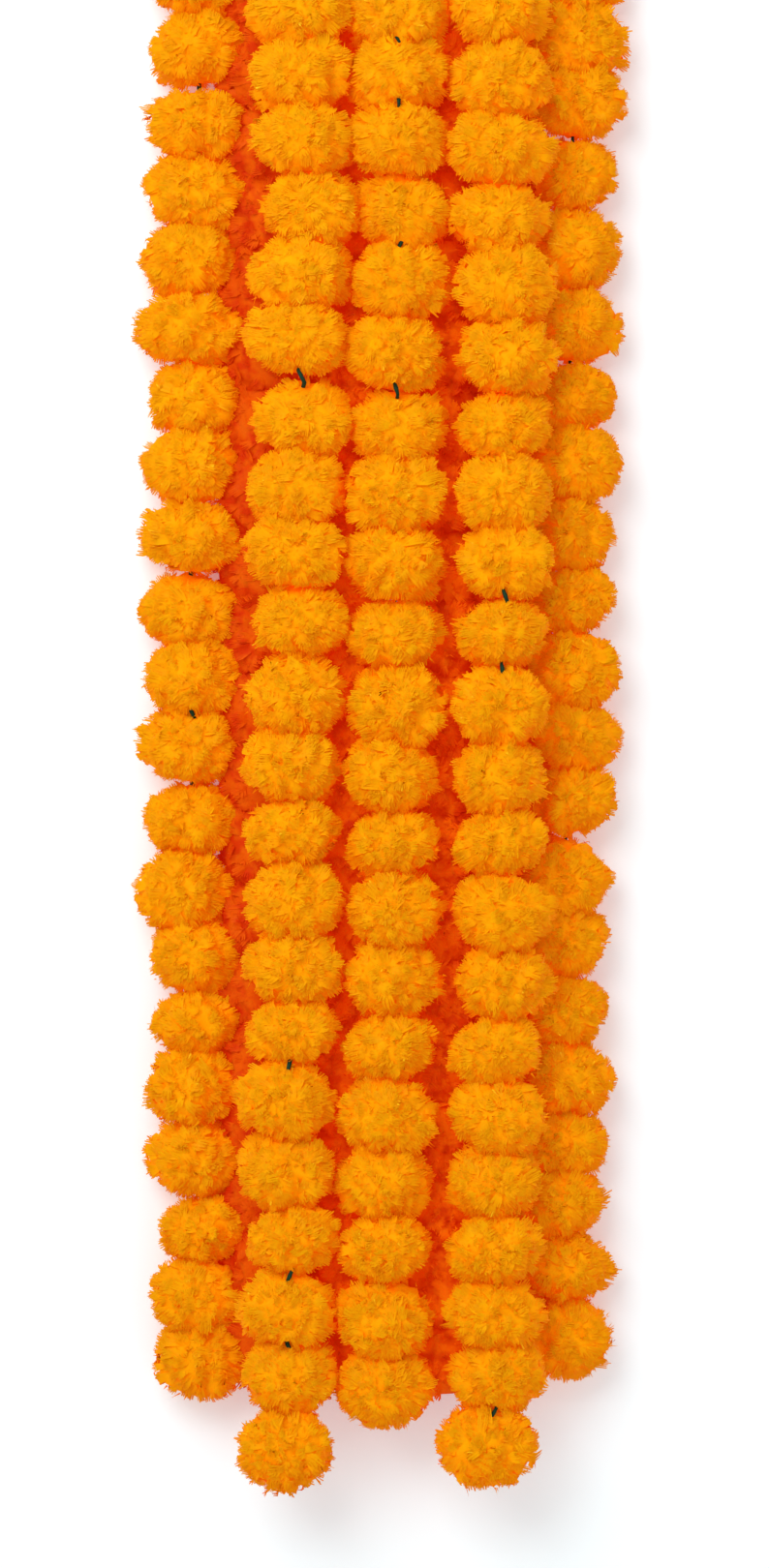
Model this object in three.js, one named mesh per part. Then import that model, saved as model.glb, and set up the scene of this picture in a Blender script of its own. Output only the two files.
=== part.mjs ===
// A marigold garland: nine strings of round, ruffled flower heads in one bunch, laid flat.
// Six strings lie side by side on the surface, pressed together, and three lie on top of
// them. Every head is threaded on a green string, and one band ties the nine strings
// together at the top.
//
// Millimetres. +Y runs from the loose lower ends to the tie, +Z is up, and the surface that
// the bunch lies on is Z = 0. The origin is the middle of the footprint.

import * as THREE from 'three';

// ---- Driving dimensions ----------------------------------------------------------------

const FULL_RADIUS = 45;         // a head of the strings that show: the top ones and both outer ones
const PRESSED_RADIUS = 36;      // a head of the strings pressed under and between them
const FULL_SIDES = 12;          // petal tips and notches in one layer of a head
const PRESSED_SIDES = 8;
const LYING_HEIGHT = 0.8;       // height of a lying string's axis, as a share of its radius
const FLAT_DEPTH = 0.2;         // what is nearer the surface than this share of the radius,
const FLAT_WIDTH = 0.45;        // and nearer the middle than this, lies flat on the surface
const HEAD_GAP = 1.0;           // left between heads of neighbouring strings
const NODE_GAP = 0.4;           // left where one length of a string ends and the next starts
const HEADS_PER_LENGTH = 6;

const NECK_RADIUS = 0.52;       // between two heads, as a share of the head's radius
const END_RADIUS = 0.34;        // where a string's first head starts and its last one ends
const END_STRETCH = 0.10;       // the last head hangs free, so it is this much longer
const TIP_DROOP = 0.10;         // how far tips hang below their layer, as a share of a head
const SIZE_SPREAD = 0.03;       // heads differ by this share of their radius
const TILT_SPREAD = 0.05;       // and lean by up to this many radians

// The layers of petals from a head's top to its underside: where they lie along the head,
// and how far their tips and the notches between them stand out, as shares of its radius.
const LAYERS = [
  { at: 0.23, tip: 0.86, notch: 0.68 },
  { at: 0.52, tip: 1.02, notch: 0.86 },
  { at: 0.80, tip: 0.92, notch: 0.71 },
];

const THREAD_RADIUS = 2.4;      // corner radius of the green string's square section
const BORE_RADIUS = 2.85;       // corner radius of the hole that it runs in
const THREAD_TAIL = 3;          // it ends this far below the last head

const TIE_Y = 893;              // where the band starts, on the bunch's own measure
const TIE_LENGTH = 14;
const TIE_WALL = 2.2;
const TIE_CLEARANCE = 0.5;
const SLOT_PITCH = 5.2;         // between green strings inside the band
const SLOT_COLUMNS = 6;
const STRING_END = 16;          // the cut ends stand this far out of the band
const GATHER_STEPS = 5;
const GATHER_EASE = 44;         // length over which a string turns into the band

const FOOTPRINT_MIDDLE = { x: -4.3, y: 132.5 };

// The strings. x and top are the place of the first head, pitch is the mean distance from
// head to head, drift is how far the string moves sideways with every head, and sway and
// slip are how far each head lies from that even row, sideways and along the string.
const FULL_STRINGS = [
  {
    name: 'outer_left', x: -180, drift: 0.1, top: 754, pitch: 65.2, height: null, slot: [0, 0],
    sway: [4, 4, 6, 4, -3, -4, 4, -1, -1, -6, -1, -3, -2, -11, 1, 3, -2, 1, 9, 2, 7],
    slip: [6, 5, -3, -1, 2, 1, 2, 3, 0, -3, -2, -1, -4, -7, -2, 0, 5, 2, -1, 4, 10],
  },
  {
    name: 'top_left', x: -74, drift: -0.9, top: 725, pitch: 63.8, height: 100, slot: [1, 1],
    sway: [-4, -3, 2, 10, 1, -2, 6, -1, -2, 4, 0, -3, -2, 3, 4, 2, -3, -2, 5, 1, 3, 1],
    slip: [-5, 0, 1, 2, 4, 8, -2, -4, 1, 2, -6, -5, -4, -4, -1, 2, 3, 0, 0, 1, 2, -2],
  },
  {
    name: 'top_middle', x: 15, drift: -0.8, top: 721, pitch: 64.2, height: 96, slot: [2, 1],
    sway: [-3, -1, 0, 4, 2, -2, 2, 1, 1, 1, 6, -1, 2, 5, 2, 2, 0, -3, 0, 0, 2],
    slip: [-6, 5, 6, 4, 4, 0, -3, -2, -2, -4, -7, -6, -6, -3, -2, -3, 0, 1, 3, 2, 3],
  },
  {
    name: 'top_right', x: 112, drift: -0.4, top: 715, pitch: 63.7, height: 103, slot: [3, 1],
    sway: [-6, -3, -5, -5, 2, 5, 1, 2, 5, 1, 0, -1, 2, 3, 4, -2, 2, -3, -3, -3, 2, -9],
    slip: [5, 1, 2, 3, 3, 0, 0, 1, 2, -2, -6, -8, -5, -6, -8, -7, -2, -1, 0, 5, 10, 9],
  },
  {
    name: 'outer_right', x: 181, drift: -0.8, top: 759, pitch: 64.5, height: null, slot: [5, 0],
    sway: [0, 1, 0, -3, -3, -2, -1, 4, -4, 1, 5, 6, 4, -4, -4, -3, 3, -1, -5, 0, 3],
    slip: [4, 4, 14, 10, 1, -3, -7, -6, -6, -6, -5, -4, 0, -8, -3, -7, -2, -2, 8, 13, 9],
  },
];
const PRESSED_STRINGS = [
  { name: 'inner_1', x: -107, top: 736, pitch: 66.4, count: 20, slot: [1, 0] },
  { name: 'inner_2', x: -30, top: 722, pitch: 66.0, count: 20, slot: [2, 0] },
  { name: 'inner_3', x: 52, top: 744, pitch: 67.4, count: 20, slot: [3, 0] },
  { name: 'inner_4', x: 117, top: 724, pitch: 64.6, count: 20, slot: [4, 0] },
];
const PRESSED_SWAY = 2.5;       // a pressed string's heads lie at most this far from its line

const PETALS_BRIGHT = new THREE.MeshStandardMaterial({ color: 0xf79a05, roughness: 0.6 });
const PETALS_DEEP = new THREE.MeshStandardMaterial({ color: 0xe0520a, roughness: 0.6 });
const GREEN = new THREE.MeshStandardMaterial({ color: 0x1d4a22, roughness: 0.7 });

// ---- Where the heads lie ---------------------------------------------------------------

// A repeatable number from -1 to 1 for one head of one string.
function vary(string, head, what) {
  return Math.sin(12.9 * string + 4.3 * head + 2.1 * what * head + 7.7 * what);
}

function layString(row, index) {
  const pressed = row.sway === undefined;
  const radius = pressed ? PRESSED_RADIUS : FULL_RADIUS;
  const heads = [];
  for (let i = 0; i < (pressed ? row.count : row.sway.length); i += 1) {
    const sway = pressed ? PRESSED_SWAY * vary(index, i, 1) : row.sway[i];
    heads.push({
      x: row.x + (row.drift ?? 0) * i + sway,
      y: row.top - row.pitch * i + (pressed ? 0 : row.slip[i]),
      radius: radius * (1 + SIZE_SPREAD * vary(index, i, 2)),
      turn: TILT_SPREAD * vary(index, i, 3),
      nod: TILT_SPREAD * vary(index, i, 4),
    });
  }
  const z = row.height ?? radius * LYING_HEIGHT;
  const sides = pressed ? PRESSED_SIDES : FULL_SIDES;
  const { name, pitch, slot } = row;
  return { name, index, radius, sides, pitch, slot, pressed, heads, z };
}

// The axis of a string where it passes y.
function axisAt(string, y) {
  const { heads, z } = string;
  let i = 0;
  while (i < heads.length - 2 && y < heads[i + 1].y) i += 1;
  const share = THREE.MathUtils.clamp((heads[i].y - y) / (heads[i].y - heads[i + 1].y), 0, 1);
  return new THREE.Vector3(THREE.MathUtils.lerp(heads[i].x, heads[i + 1].x, share), y, z);
}

// Where the neck above head i lies. Neck 0 is the top end, and the last one the lower end.
function neckY(string, i) {
  const { heads, pitch } = string;
  if (i === 0) return heads[0].y + pitch * 0.5;
  if (i === heads.length) return heads[i - 1].y - pitch * (0.5 + END_STRETCH);
  return (heads[i - 1].y + heads[i].y) / 2;
}

// ---- Heads -----------------------------------------------------------------------------

// Presses a point of one string's heads back where a neighbour or the surface is in its way.
function press(point, string, strings) {
  const axis = axisAt(string, point.y);
  const out = point.clone().sub(axis);
  let share = 1;
  for (const other of strings) {
    const top = neckY(other, 0);
    const bottom = neckY(other, other.heads.length);
    if (other === string || point.y > top + HEAD_GAP || point.y < bottom - HEAD_GAP) continue;
    const between = axisAt(other, point.y).sub(axis);
    const distance = between.length();
    const room = distance * string.radius / (string.radius + other.radius) - HEAD_GAP / 2;
    const reach = out.dot(between) / distance;
    if (reach > room) share = Math.min(share, room / reach);
  }
  const height = axis.z + out.z * share;
  const below = height < FLAT_DEPTH * string.radius && Math.abs(out.x) < FLAT_WIDTH * string.radius;
  if (height < 0 || below) share = -axis.z / out.z;
  const pressed = axis.addScaledVector(out, share);
  if (pressed.z < 0.001) pressed.z = 0;
  return pressed;
}

// One ring of points round a string. Every other point is a petal's tip, which stands out
// and hangs lower, and the rest are the notches between them.
function petalRing(string, y, layer, shift, head, strings) {
  const ring = [];
  const length = string.pitch;
  for (let i = 0; i < string.sides; i += 1) {
    const angle = (i + 0.5) / string.sides * 2 * Math.PI;
    const isTip = (i + shift) % 2 === 0;
    const radius = (isTip ? layer.tip : layer.notch) * head.radius;
    const side = radius * Math.cos(angle);
    const up = radius * Math.sin(angle);
    const droop = layer.droop * length * (isTip ? -1 : 1);
    const lean = layer.droop === 0 ? 0 : head.turn * side + head.nod * up;
    const axis = axisAt(string, y);
    const point = new THREE.Vector3(axis.x + side, y + droop + lean, axis.z + up);
    ring.push(press(point, string, strings));
  }
  return ring;
}

function neckRing(string, y, share, head, strings) {
  const layer = { tip: share, notch: share * 0.9, droop: 0 };
  return petalRing(string, y, layer, 0, head, strings);
}

// The outer rings of heads first to last, with the two ends drawn in or cut at the neck.
function headRings(string, first, last, strings) {
  const { heads } = string;
  const rings = [];
  for (let i = first; i <= last; i += 1) {
    const head = heads[i];
    const top = neckY(string, i);
    const bottom = neckY(string, i + 1);
    const inset = i === first && i > 0 ? NODE_GAP / 2 : 0;
    rings.push(neckRing(string, top - inset, i === 0 ? END_RADIUS : NECK_RADIUS, head, strings));
    LAYERS.forEach((layer, order) => {
      const y = THREE.MathUtils.lerp(top, bottom, layer.at);
      rings.push(petalRing(string, y, { ...layer, droop: TIP_DROOP }, order + 1, head, strings));
    });
  }
  const lowest = last === heads.length - 1;
  const end = neckY(string, last + 1) + (lowest ? 0 : NODE_GAP / 2);
  rings.push(neckRing(string, end, lowest ? END_RADIUS : NECK_RADIUS, heads[last], strings));
  return rings;
}

// ---- Green strings ---------------------------------------------------------------------

// A square ring of points round the green string, square to its direction.
function squareRing(centre, direction, radius) {
  const side = new THREE.Vector3(0, 0, 1).cross(direction).normalize();
  const up = new THREE.Vector3().crossVectors(direction, side).normalize();
  const ring = [];
  for (let i = 0; i < 4; i += 1) {
    const angle = (i + 0.5) / 4 * 2 * Math.PI;
    const point = centre.clone();
    point.addScaledVector(side, radius * Math.cos(angle));
    point.addScaledVector(up, radius * Math.sin(angle));
    ring.push(point);
  }
  return ring;
}

// The green string bends at these points, from the top head's upper end down.
function threadBends(string) {
  const count = string.heads.length;
  const bends = [];
  for (let i = 0; i < count; i += HEADS_PER_LENGTH) bends.push(axisAt(string, neckY(string, i)));
  bends.push(axisAt(string, neckY(string, count)));
  return bends;
}

// The square ring of the hole or the string where it passes y, between two bends.
function ringAtY(bends, y, radius) {
  let i = 0;
  while (i < bends.length - 2 && y < bends[i + 1].y) i += 1;
  const share = (bends[i].y - y) / (bends[i].y - bends[i + 1].y);
  const centre = bends[i].clone().lerp(bends[i + 1], share);
  return squareRing(centre, new THREE.Vector3(0, -1, 0), radius);
}

function slotOf(string) {
  const [column, row] = string.slot;
  const half = THREE.MathUtils.degToRad(45);
  const bottom = TIE_WALL + TIE_CLEARANCE + THREAD_RADIUS * Math.cos(half);
  const x = FOOTPRINT_MIDDLE.x + (column - (SLOT_COLUMNS - 1) / 2) * SLOT_PITCH;
  return new THREE.Vector3(x, TIE_Y, bottom + row * SLOT_PITCH);
}

function threadRings(string) {
  const bends = threadBends(string);
  const slot = slotOf(string);
  const lean = bends[0].clone().setY(bends[0].y + GATHER_EASE);
  const straighten = slot.clone().setY(slot.y - GATHER_EASE);
  const gather = new THREE.CubicBezierCurve3(slot, straighten, lean, bends[0]);
  const down = new THREE.Vector3(0, -1, 0);
  const rings = [];
  rings.push(squareRing(slot.clone().setY(slot.y + TIE_LENGTH + STRING_END), down, THREAD_RADIUS));
  for (let i = 0; i <= GATHER_STEPS; i += 1) {
    const share = i / GATHER_STEPS;
    rings.push(squareRing(gather.getPoint(share), gather.getTangent(share), THREAD_RADIUS));
  }
  for (const bend of bends.slice(1, -1)) rings.push(squareRing(bend, down, THREAD_RADIUS));
  rings.push(ringAtY(bends, bends.at(-1).y - THREAD_TAIL, THREAD_RADIUS));
  return rings;
}

// ---- Closed meshes ---------------------------------------------------------------------

// Joins rings of points, listed towards -Y, into triangles that face away from their axis.
// Each quadrilateral is cut from notch to notch, so that every tip is the top of a petal.
function skin(rings, startIndex, triangles) {
  const sides = rings[0].length;
  for (let r = 0; r < rings.length - 1; r += 1) {
    for (let i = 0; i < sides; i += 1) {
      const a = startIndex + r * sides + i;
      const b = startIndex + r * sides + (i + 1) % sides;
      const c = a + sides;
      const d = b + sides;
      const layer = r % (LAYERS.length + 1);
      if ((i + layer) % 2 === 0) triangles.push([a, b, c], [b, d, c]);
      else triangles.push([a, b, d], [a, d, c]);
    }
  }
}

// Fills the flat ring between an outer ring of points and the four corners of the hole.
function rim(outerStart, sides, innerStart, triangles) {
  const perCorner = sides / 4;
  const first = Math.floor(sides / 8);
  const change = Math.floor(perCorner / 2);
  for (let corner = 0; corner < 4; corner += 1) {
    const inner = innerStart + corner;
    const nextInner = innerStart + (corner + 1) % 4;
    for (let step = 0; step < perCorner; step += 1) {
      const a = outerStart + (corner * perCorner + first + step) % sides;
      const b = outerStart + (corner * perCorner + first + step + 1) % sides;
      if (step === change) triangles.push([a, nextInner, inner]);
      triangles.push([a, b, step < change ? inner : nextInner]);
    }
  }
}

function toGeometry(points, triangles) {
  const geometry = new THREE.BufferGeometry();
  geometry.setFromPoints(points);
  geometry.setIndex(triangles.flat());
  geometry.computeVertexNormals();
  return geometry;
}

// A length of heads with the hole for the green string right through it.
function threadedHeads(string, first, last, strings) {
  const outer = headRings(string, first, last, strings);
  const bends = threadBends(string);
  const top = outer[0][0].y;
  const bottom = outer.at(-1)[0].y;
  const bore = [top, bottom].map((y) => ringAtY(bends, y, BORE_RADIUS));
  const boreStart = outer.length * string.sides;
  const triangles = [];
  skin(outer, 0, triangles);
  const hole = [];
  skin(bore, boreStart, hole);
  const upperRim = [];
  rim(0, string.sides, boreStart, upperRim);
  rim((outer.length - 1) * string.sides, string.sides, boreStart + (bore.length - 1) * 4, triangles);
  for (const [a, b, c] of [...hole, ...upperRim]) triangles.push([a, c, b]);
  return toGeometry([...outer.flat(), ...bore.flat()], triangles);
}

function threadSolid(string) {
  const rings = threadRings(string);
  const triangles = [];
  skin(rings, 0, triangles);
  const last = (rings.length - 1) * 4;
  triangles.push([0, 2, 1], [0, 3, 2], [last, last + 1, last + 2], [last, last + 2, last + 3]);
  return toGeometry(rings.flat(), triangles);
}

// ---- The tie ---------------------------------------------------------------------------

function roundedBox(Kind, halfWidth, halfHeight, corner) {
  const shape = new Kind();
  const x = halfWidth - corner;
  const y = halfHeight - corner;
  shape.moveTo(x, -halfHeight);
  shape.absarc(x, -y, corner, -Math.PI / 2, 0);
  shape.absarc(x, y, corner, 0, Math.PI / 2);
  shape.absarc(-x, y, corner, Math.PI / 2, Math.PI);
  shape.absarc(-x, -y, corner, Math.PI, 1.5 * Math.PI);
  shape.closePath();
  return shape;
}

function tieBand() {
  const thread = THREAD_RADIUS * Math.cos(Math.PI / 4);
  const halfWidth = (SLOT_COLUMNS - 1) / 2 * SLOT_PITCH + thread + TIE_CLEARANCE;
  const halfHeight = SLOT_PITCH / 2 + thread + TIE_CLEARANCE;
  const outline = roundedBox(THREE.Shape, halfWidth + TIE_WALL, halfHeight + TIE_WALL, 3);
  outline.holes.push(roundedBox(THREE.Path, halfWidth, halfHeight, 0.8));
  const options = { depth: TIE_LENGTH, bevelEnabled: false, curveSegments: 3 };
  const mesh = new THREE.Mesh(new THREE.ExtrudeGeometry(outline, options), GREEN);
  mesh.name = 'tie_band';
  mesh.rotation.x = Math.PI / 2;
  mesh.position.set(FOOTPRINT_MIDDLE.x, TIE_Y + TIE_LENGTH, halfHeight + TIE_WALL);
  return mesh;
}

// ---- Assembly --------------------------------------------------------------------------

const garland = new THREE.Group();
garland.name = 'marigold_garland';
garland.position.set(-FOOTPRINT_MIDDLE.x, -FOOTPRINT_MIDDLE.y, 0);

const strings = [...FULL_STRINGS, ...PRESSED_STRINGS].map(layString);
for (const string of strings) {
  const petals = string.pressed ? PETALS_DEEP : PETALS_BRIGHT;
  const count = string.heads.length;
  for (let first = 0, length = 1; first < count; first += HEADS_PER_LENGTH, length += 1) {
    const last = Math.min(first + HEADS_PER_LENGTH, count) - 1;
    const heads = new THREE.Mesh(threadedHeads(string, first, last, strings), petals);
    heads.name = `heads_${string.name}_${length}`;
    garland.add(heads);
  }
  const thread = new THREE.Mesh(threadSolid(string), GREEN);
  thread.name = `green_string_${string.name}`;
  garland.add(thread);
}
garland.add(tieBand());

export default garland;
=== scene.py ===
"""A bunch of marigold garlands lying flat: fringed sheet heads on green strings, tied at the top.

Metres. +Y runs from the loose lower ends to the tie, +Z is up, the floor is Z = 0.
"""

import math

import bpy
import numpy as np
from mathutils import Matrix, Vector


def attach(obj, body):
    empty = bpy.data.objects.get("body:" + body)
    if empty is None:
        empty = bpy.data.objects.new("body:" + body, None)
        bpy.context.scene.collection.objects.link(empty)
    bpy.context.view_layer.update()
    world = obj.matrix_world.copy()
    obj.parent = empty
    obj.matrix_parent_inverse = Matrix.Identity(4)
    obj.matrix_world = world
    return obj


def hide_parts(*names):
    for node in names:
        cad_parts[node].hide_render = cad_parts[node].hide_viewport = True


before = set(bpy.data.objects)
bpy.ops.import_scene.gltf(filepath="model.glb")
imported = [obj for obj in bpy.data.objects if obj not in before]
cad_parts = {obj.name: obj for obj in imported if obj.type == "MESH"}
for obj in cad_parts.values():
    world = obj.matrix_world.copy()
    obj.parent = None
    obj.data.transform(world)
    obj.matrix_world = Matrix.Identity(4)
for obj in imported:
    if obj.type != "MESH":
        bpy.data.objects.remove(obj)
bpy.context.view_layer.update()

MM = 0.001
TAU = 2 * math.pi
UP = np.array([0.0, 0.0, 1.0])

# ---- Sizes of the bunch, the same as the solids have ----------------------------------------

FULL_RADIUS = 45 * MM
PRESSED_RADIUS = 36 * MM
LYING_HEIGHT = 0.8              # a lying string's axis, as a share of its radius
SIZE_SPREAD = 0.03
TILT_SPREAD = 0.05
PRESSED_SWAY = 2.5 * MM
HEADS_PER_LENGTH = 6

THREAD_RADIUS = 2.2 * MM
TIE_Y = 893 * MM
TIE_LENGTH = 14 * MM
TIE_BOTTOM = 2.7 * MM           # the band's wall and the clearance inside it
STRING_SEAT = 1.7 * MM          # from there to the middle of the lowest strings
SLOT_PITCH = 5.2 * MM
SLOT_COLUMNS = 6
STRING_END = 16 * MM
GATHER_EASE = 44 * MM

FOOTPRINT_MIDDLE = np.array([-4.3, 132.5]) * MM

# x and top are the place of a string's first head, pitch the mean distance from head to head,
# drift the sideways step with every head, and sway and slip each head's own offset, in mm.
FULL_STRINGS = [
    dict(
        name="outer_left", x=-180, drift=0.1, top=754, pitch=65.2, height=None, slot=(0, 0),
        sway=[4, 4, 6, 4, -3, -4, 4, -1, -1, -6, -1, -3, -2, -11, 1, 3, -2, 1, 9, 2, 7],
        slip=[6, 5, -3, -1, 2, 1, 2, 3, 0, -3, -2, -1, -4, -7, -2, 0, 5, 2, -1, 4, 10],
    ),
    dict(
        name="top_left", x=-74, drift=-0.9, top=725, pitch=63.8, height=100, slot=(1, 1),
        sway=[-4, -3, 2, 10, 1, -2, 6, -1, -2, 4, 0, -3, -2, 3, 4, 2, -3, -2, 5, 1, 3, 1],
        slip=[-5, 0, 1, 2, 4, 8, -2, -4, 1, 2, -6, -5, -4, -4, -1, 2, 3, 0, 0, 1, 2, -2],
    ),
    dict(
        name="top_middle", x=15, drift=-0.8, top=721, pitch=64.2, height=96, slot=(2, 1),
        sway=[-3, -1, 0, 4, 2, -2, 2, 1, 1, 1, 6, -1, 2, 5, 2, 2, 0, -3, 0, 0, 2],
        slip=[-6, 5, 6, 4, 4, 0, -3, -2, -2, -4, -7, -6, -6, -3, -2, -3, 0, 1, 3, 2, 3],
    ),
    dict(
        name="top_right", x=112, drift=-0.4, top=715, pitch=63.7, height=103, slot=(3, 1),
        sway=[-6, -3, -5, -5, 2, 5, 1, 2, 5, 1, 0, -1, 2, 3, 4, -2, 2, -3, -3, -3, 2, -9],
        slip=[5, 1, 2, 3, 3, 0, 0, 1, 2, -2, -6, -8, -5, -6, -8, -7, -2, -1, 0, 5, 10, 9],
    ),
    dict(
        name="outer_right", x=181, drift=-0.8, top=759, pitch=64.5, height=None, slot=(5, 0),
        sway=[0, 1, 0, -3, -3, -2, -1, 4, -4, 1, 5, 6, 4, -4, -4, -3, 3, -1, -5, 0, 3],
        slip=[4, 4, 14, 10, 1, -3, -7, -6, -6, -6, -5, -4, 0, -8, -3, -7, -2, -2, 8, 13, 9],
    ),
]
PRESSED_STRINGS = [
    dict(name="inner_1", x=-107, top=736, pitch=66.4, count=20, slot=(1, 0)),
    dict(name="inner_2", x=-30, top=722, pitch=66.0, count=20, slot=(2, 0)),
    dict(name="inner_3", x=52, top=744, pitch=67.4, count=20, slot=(3, 0)),
    dict(name="inner_4", x=117, top=724, pitch=64.6, count=20, slot=(4, 0)),
]

# ---- Green strings --------------------------------------------------------------------------

# Necks, counted from the top, where the green string bulges up between two heads.
SHOWN_NECKS = dict(
    outer_left=[10], top_left=[5, 15, 18, 19], top_middle=[0, 1, 3, 5], top_right=[8, 9, 20]
)
BULGE = 27 * MM
BULGE_HALF = 9 * MM
SLANT = 0.6                     # how far the string crosses such a neck askew, as a slope
GAP = np.array([4.5, 5.0]) * MM         # half width and half length of the opening in the fringe
GAP_DEPTH = 2.5                 # how far it lies below the string, as a share of its radius
CORD_SIDES = 8
CORD_PLIES = 2
CORD_TURN = 9 * MM              # length of one turn of its twist
PLY_BULGE = 0.22                # how far its plies stand out, as a share of its mean radius
STEPS_PER_HEAD = 12
GATHER_STEPS = 39
END_STEPS = 11
END_PAST = 0.45                 # how far a string runs on below its last head, as a share of a pitch
WINDING_RADIUS = 1.9 * MM
WINDING_STEP = 1.9              # from turn to turn, as a share of the winding's radius
WINDING_CORNER = 4.0            # power of the rounded box that it is wound round
STEPS_PER_TURN = 48

# ---- How a head is shaped -------------------------------------------------------------------

HALF_HEIGHT = (0.77, 0.92)      # half height of a full head, as a share of its radius
LAST_HALF_HEIGHT = 0.96         # the same of a string's last head, which nothing presses on
PRESSED_HALF_HEIGHT = 1.20      # the same of a head that presses on its neighbours
HALF_WIDTH = 1.06               # half width of a full head, as a share of its radius
PRESSED_HALF_WIDTH = 1.3
WIDE_STRINGS = dict(inner_1=1.52)       # the same of a pressed string that fills a wider gap
WIDTH_SPREAD = 0.05
SQUEEZED_UP = 1.3               # how far the upper half of a pressed head is squeezed up
BARREL = 1.06                   # power of a head's girth: 1 is an ellipsoid, less fills its corners
BARREL_SPREAD = 0.15
PRESSED_BARREL = 0.38
RISE = 3.5 * MM                 # how far a head is raised or sunk against its string
TURN = 0.17                     # how far it leans to a side on its string, in radians
FACE_UP = -0.60                 # how far the most tilted head turns its top up, in radians
LEAST_NOD = -0.3                # bound on a head's tilt the other way, before it is cubed

FOLD_RINGS = (3, 5, 7, 9, 12, 15, 19)   # ruffles: waves around a head, and their height
FOLD_HEIGHTS = (0.045, 0.042, 0.038, 0.032, 0.026, 0.018, 0.010)
RING_SPREAD = (0.8, 1.2)        # how much the waves differ from head to head in their number,
FOLD_TURNS = (-0.8, 0.8)        # in how far they run askew,
HEIGHT_SPREAD = (0.6, 1.3)      # and in their height
FOLD_FADE = 1.4                 # how soon they fade out towards the necks

CORE_SHARE = 0.88               # the tightly gathered inside of a head
CORE_AROUND = 22
CORE_DOWN = 10
CORE_TONE = 0.3

PRESS = 0.75                    # how far fringe still reaches past where two strings press together
ROOM = 0.98                     # share of the room between two strings that they fill
LEAST_ROOM = 0.3 * PRESSED_RADIUS
FAR_APART = 2.4 * FULL_RADIUS   # strings whose axes are further apart never touch
GIRTH_HEIGHT = 0.8              # half height of the ellipse that stands for a head, in its radii
NECK_GIRTH = 0.12               # square of the girth at a neck, in the same measure
FLOOR_CLEAR = 0.6 * MM

# ---- Fringe ---------------------------------------------------------------------------------

FULL_FRINGE = (246, 300)        # petals and straight bristles in a head
PRESSED_FRINGE = (96, 120)
UNDERSIDE = 0.25                # share of the fringe that stays on the side turned to the floor
UNDERSIDE_SINE = -0.45          # and the sine of the angle round the head where that side starts
DOWN_COSINES = (-0.96, 0.985)   # cosines of the angles down a head between which fringe grows
NEAR_POLE = 0.03                # least angle between a petal and a pole
LEAST_RING = 0.3                # least sine of the angle down, for turning petals round a head

FINGERS = 6                     # cuts in a petal's edge
PETAL_WIDTH = (3.5 * MM, 6.1 * MM)      # half width of a petal where its fingers start
PETAL_SPREAD = np.array([0.6, 1.0, 1.12])       # half width at its root, middle and tips
PETAL_MIDDLE = 0.48             # where along it the fingers start
PETAL_START = (0.81, 0.88)      # where it leaves the gathered inside, as a share of the radius
PETAL_REACH = 0.022             # how far in or out of the head's surface its tip is
PETAL_LEAN = (11, 25)           # how far round the head it droops from root to tip, in degrees
ANY_WAY = 0.24                  # and how much of that goes any other way
PETAL_RISE = (0.5, 1.1)         # power of its rise along its spine: the less, the sooner it rises
PETAL_ROLL = 0.25               # how far it rolls about its spine, in radians
PETAL_CUP = (7 * MM, 16 * MM)   # radius that it is cupped to across
CUPPED_BACK = 0.3               # share of the petals that are cupped the other way
STEEPEST_CUP = 0.7              # slope of the cup past which the shading stays as it is
PLEAT = 0.45 * MM
FINGER_END = 0.55               # how blunt a finger ends, as a share of its width
FAN_SWAY = 0.09                 # how far all the fingers of a petal lean to one side,
FINGER_SWAY = 0.05              # and each of them on its own
FINGER_LENGTH = 0.08            # how much the fingers differ in length, as a share of the petal's,
ROUND_EDGE = 0.16               # and how much shorter the outermost ones are
FINGER_LIFT = 0.5 * MM

BRISTLE_START = (0.88, 0.93)    # where a bristle starts, as a share of the head's radius
BRISTLE_WIDTH = (1.0 * MM, 2.2 * MM)
BRISTLE_RISE = (0.07, 0.11)     # how far it stands out, as a share of the head's radius
BRISTLE_DROOP = (0.7, 1.5)      # how far its tip hangs over, as a share of that
LONG_BRISTLES = 0.06            # share of the bristles that stand out further,
LONGER = 1.5                    # and how many times as far

# ---- Shading of the fringe ------------------------------------------------------------------

NORMAL_SPREAD = 0.50            # how far a petal's own lean shows in its shading
LIFT = 0.7                      # and how far all of it is turned up
LEAST_DOT = 0.35                # least cosine between a shading direction and the surface's own
UNDER_HEAD = -0.6               # below a head, where its surface looks down more than this
OUTER_SHARE = 0.15              # how much the outer side of a petal counts against the upper one
NECK_LIGHT = (4.0, 0.1)         # light at a head's necks: its growth away from them, and the least
SIDE_LIGHT = 0.58               # light on a head's side, and more towards these directions
LIGHT_WAY = np.array([-0.08, 0.18, 0.52])
LEAST_LIGHT = 0.2
SHADE_TOP = 66 * MM             # pressed heads are redder the further they lie below this height
DARK_STRINGS = dict(inner_1=0.48)       # share of the light that comes down to a string
# tone that alternates from one pleat line to the next: painted light and shade on the pleats
PLEAT_SHADE_TONE = 0.35
FINGER_TONE = 0.2
GLOSS_AND_HIGHLIGHT_SPREAD = 0.7              # only fingers past the number below on this spread get more gloss and a painted highlight colour
GLOSS_AND_HIGHLIGHT_FROM = 0.9

# ---- Colour of the sheet, the string and the floor ------------------------------------------

# The root's colour is painted lighter than the tip's: painted light against the shade deep between the
# petals.
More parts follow.
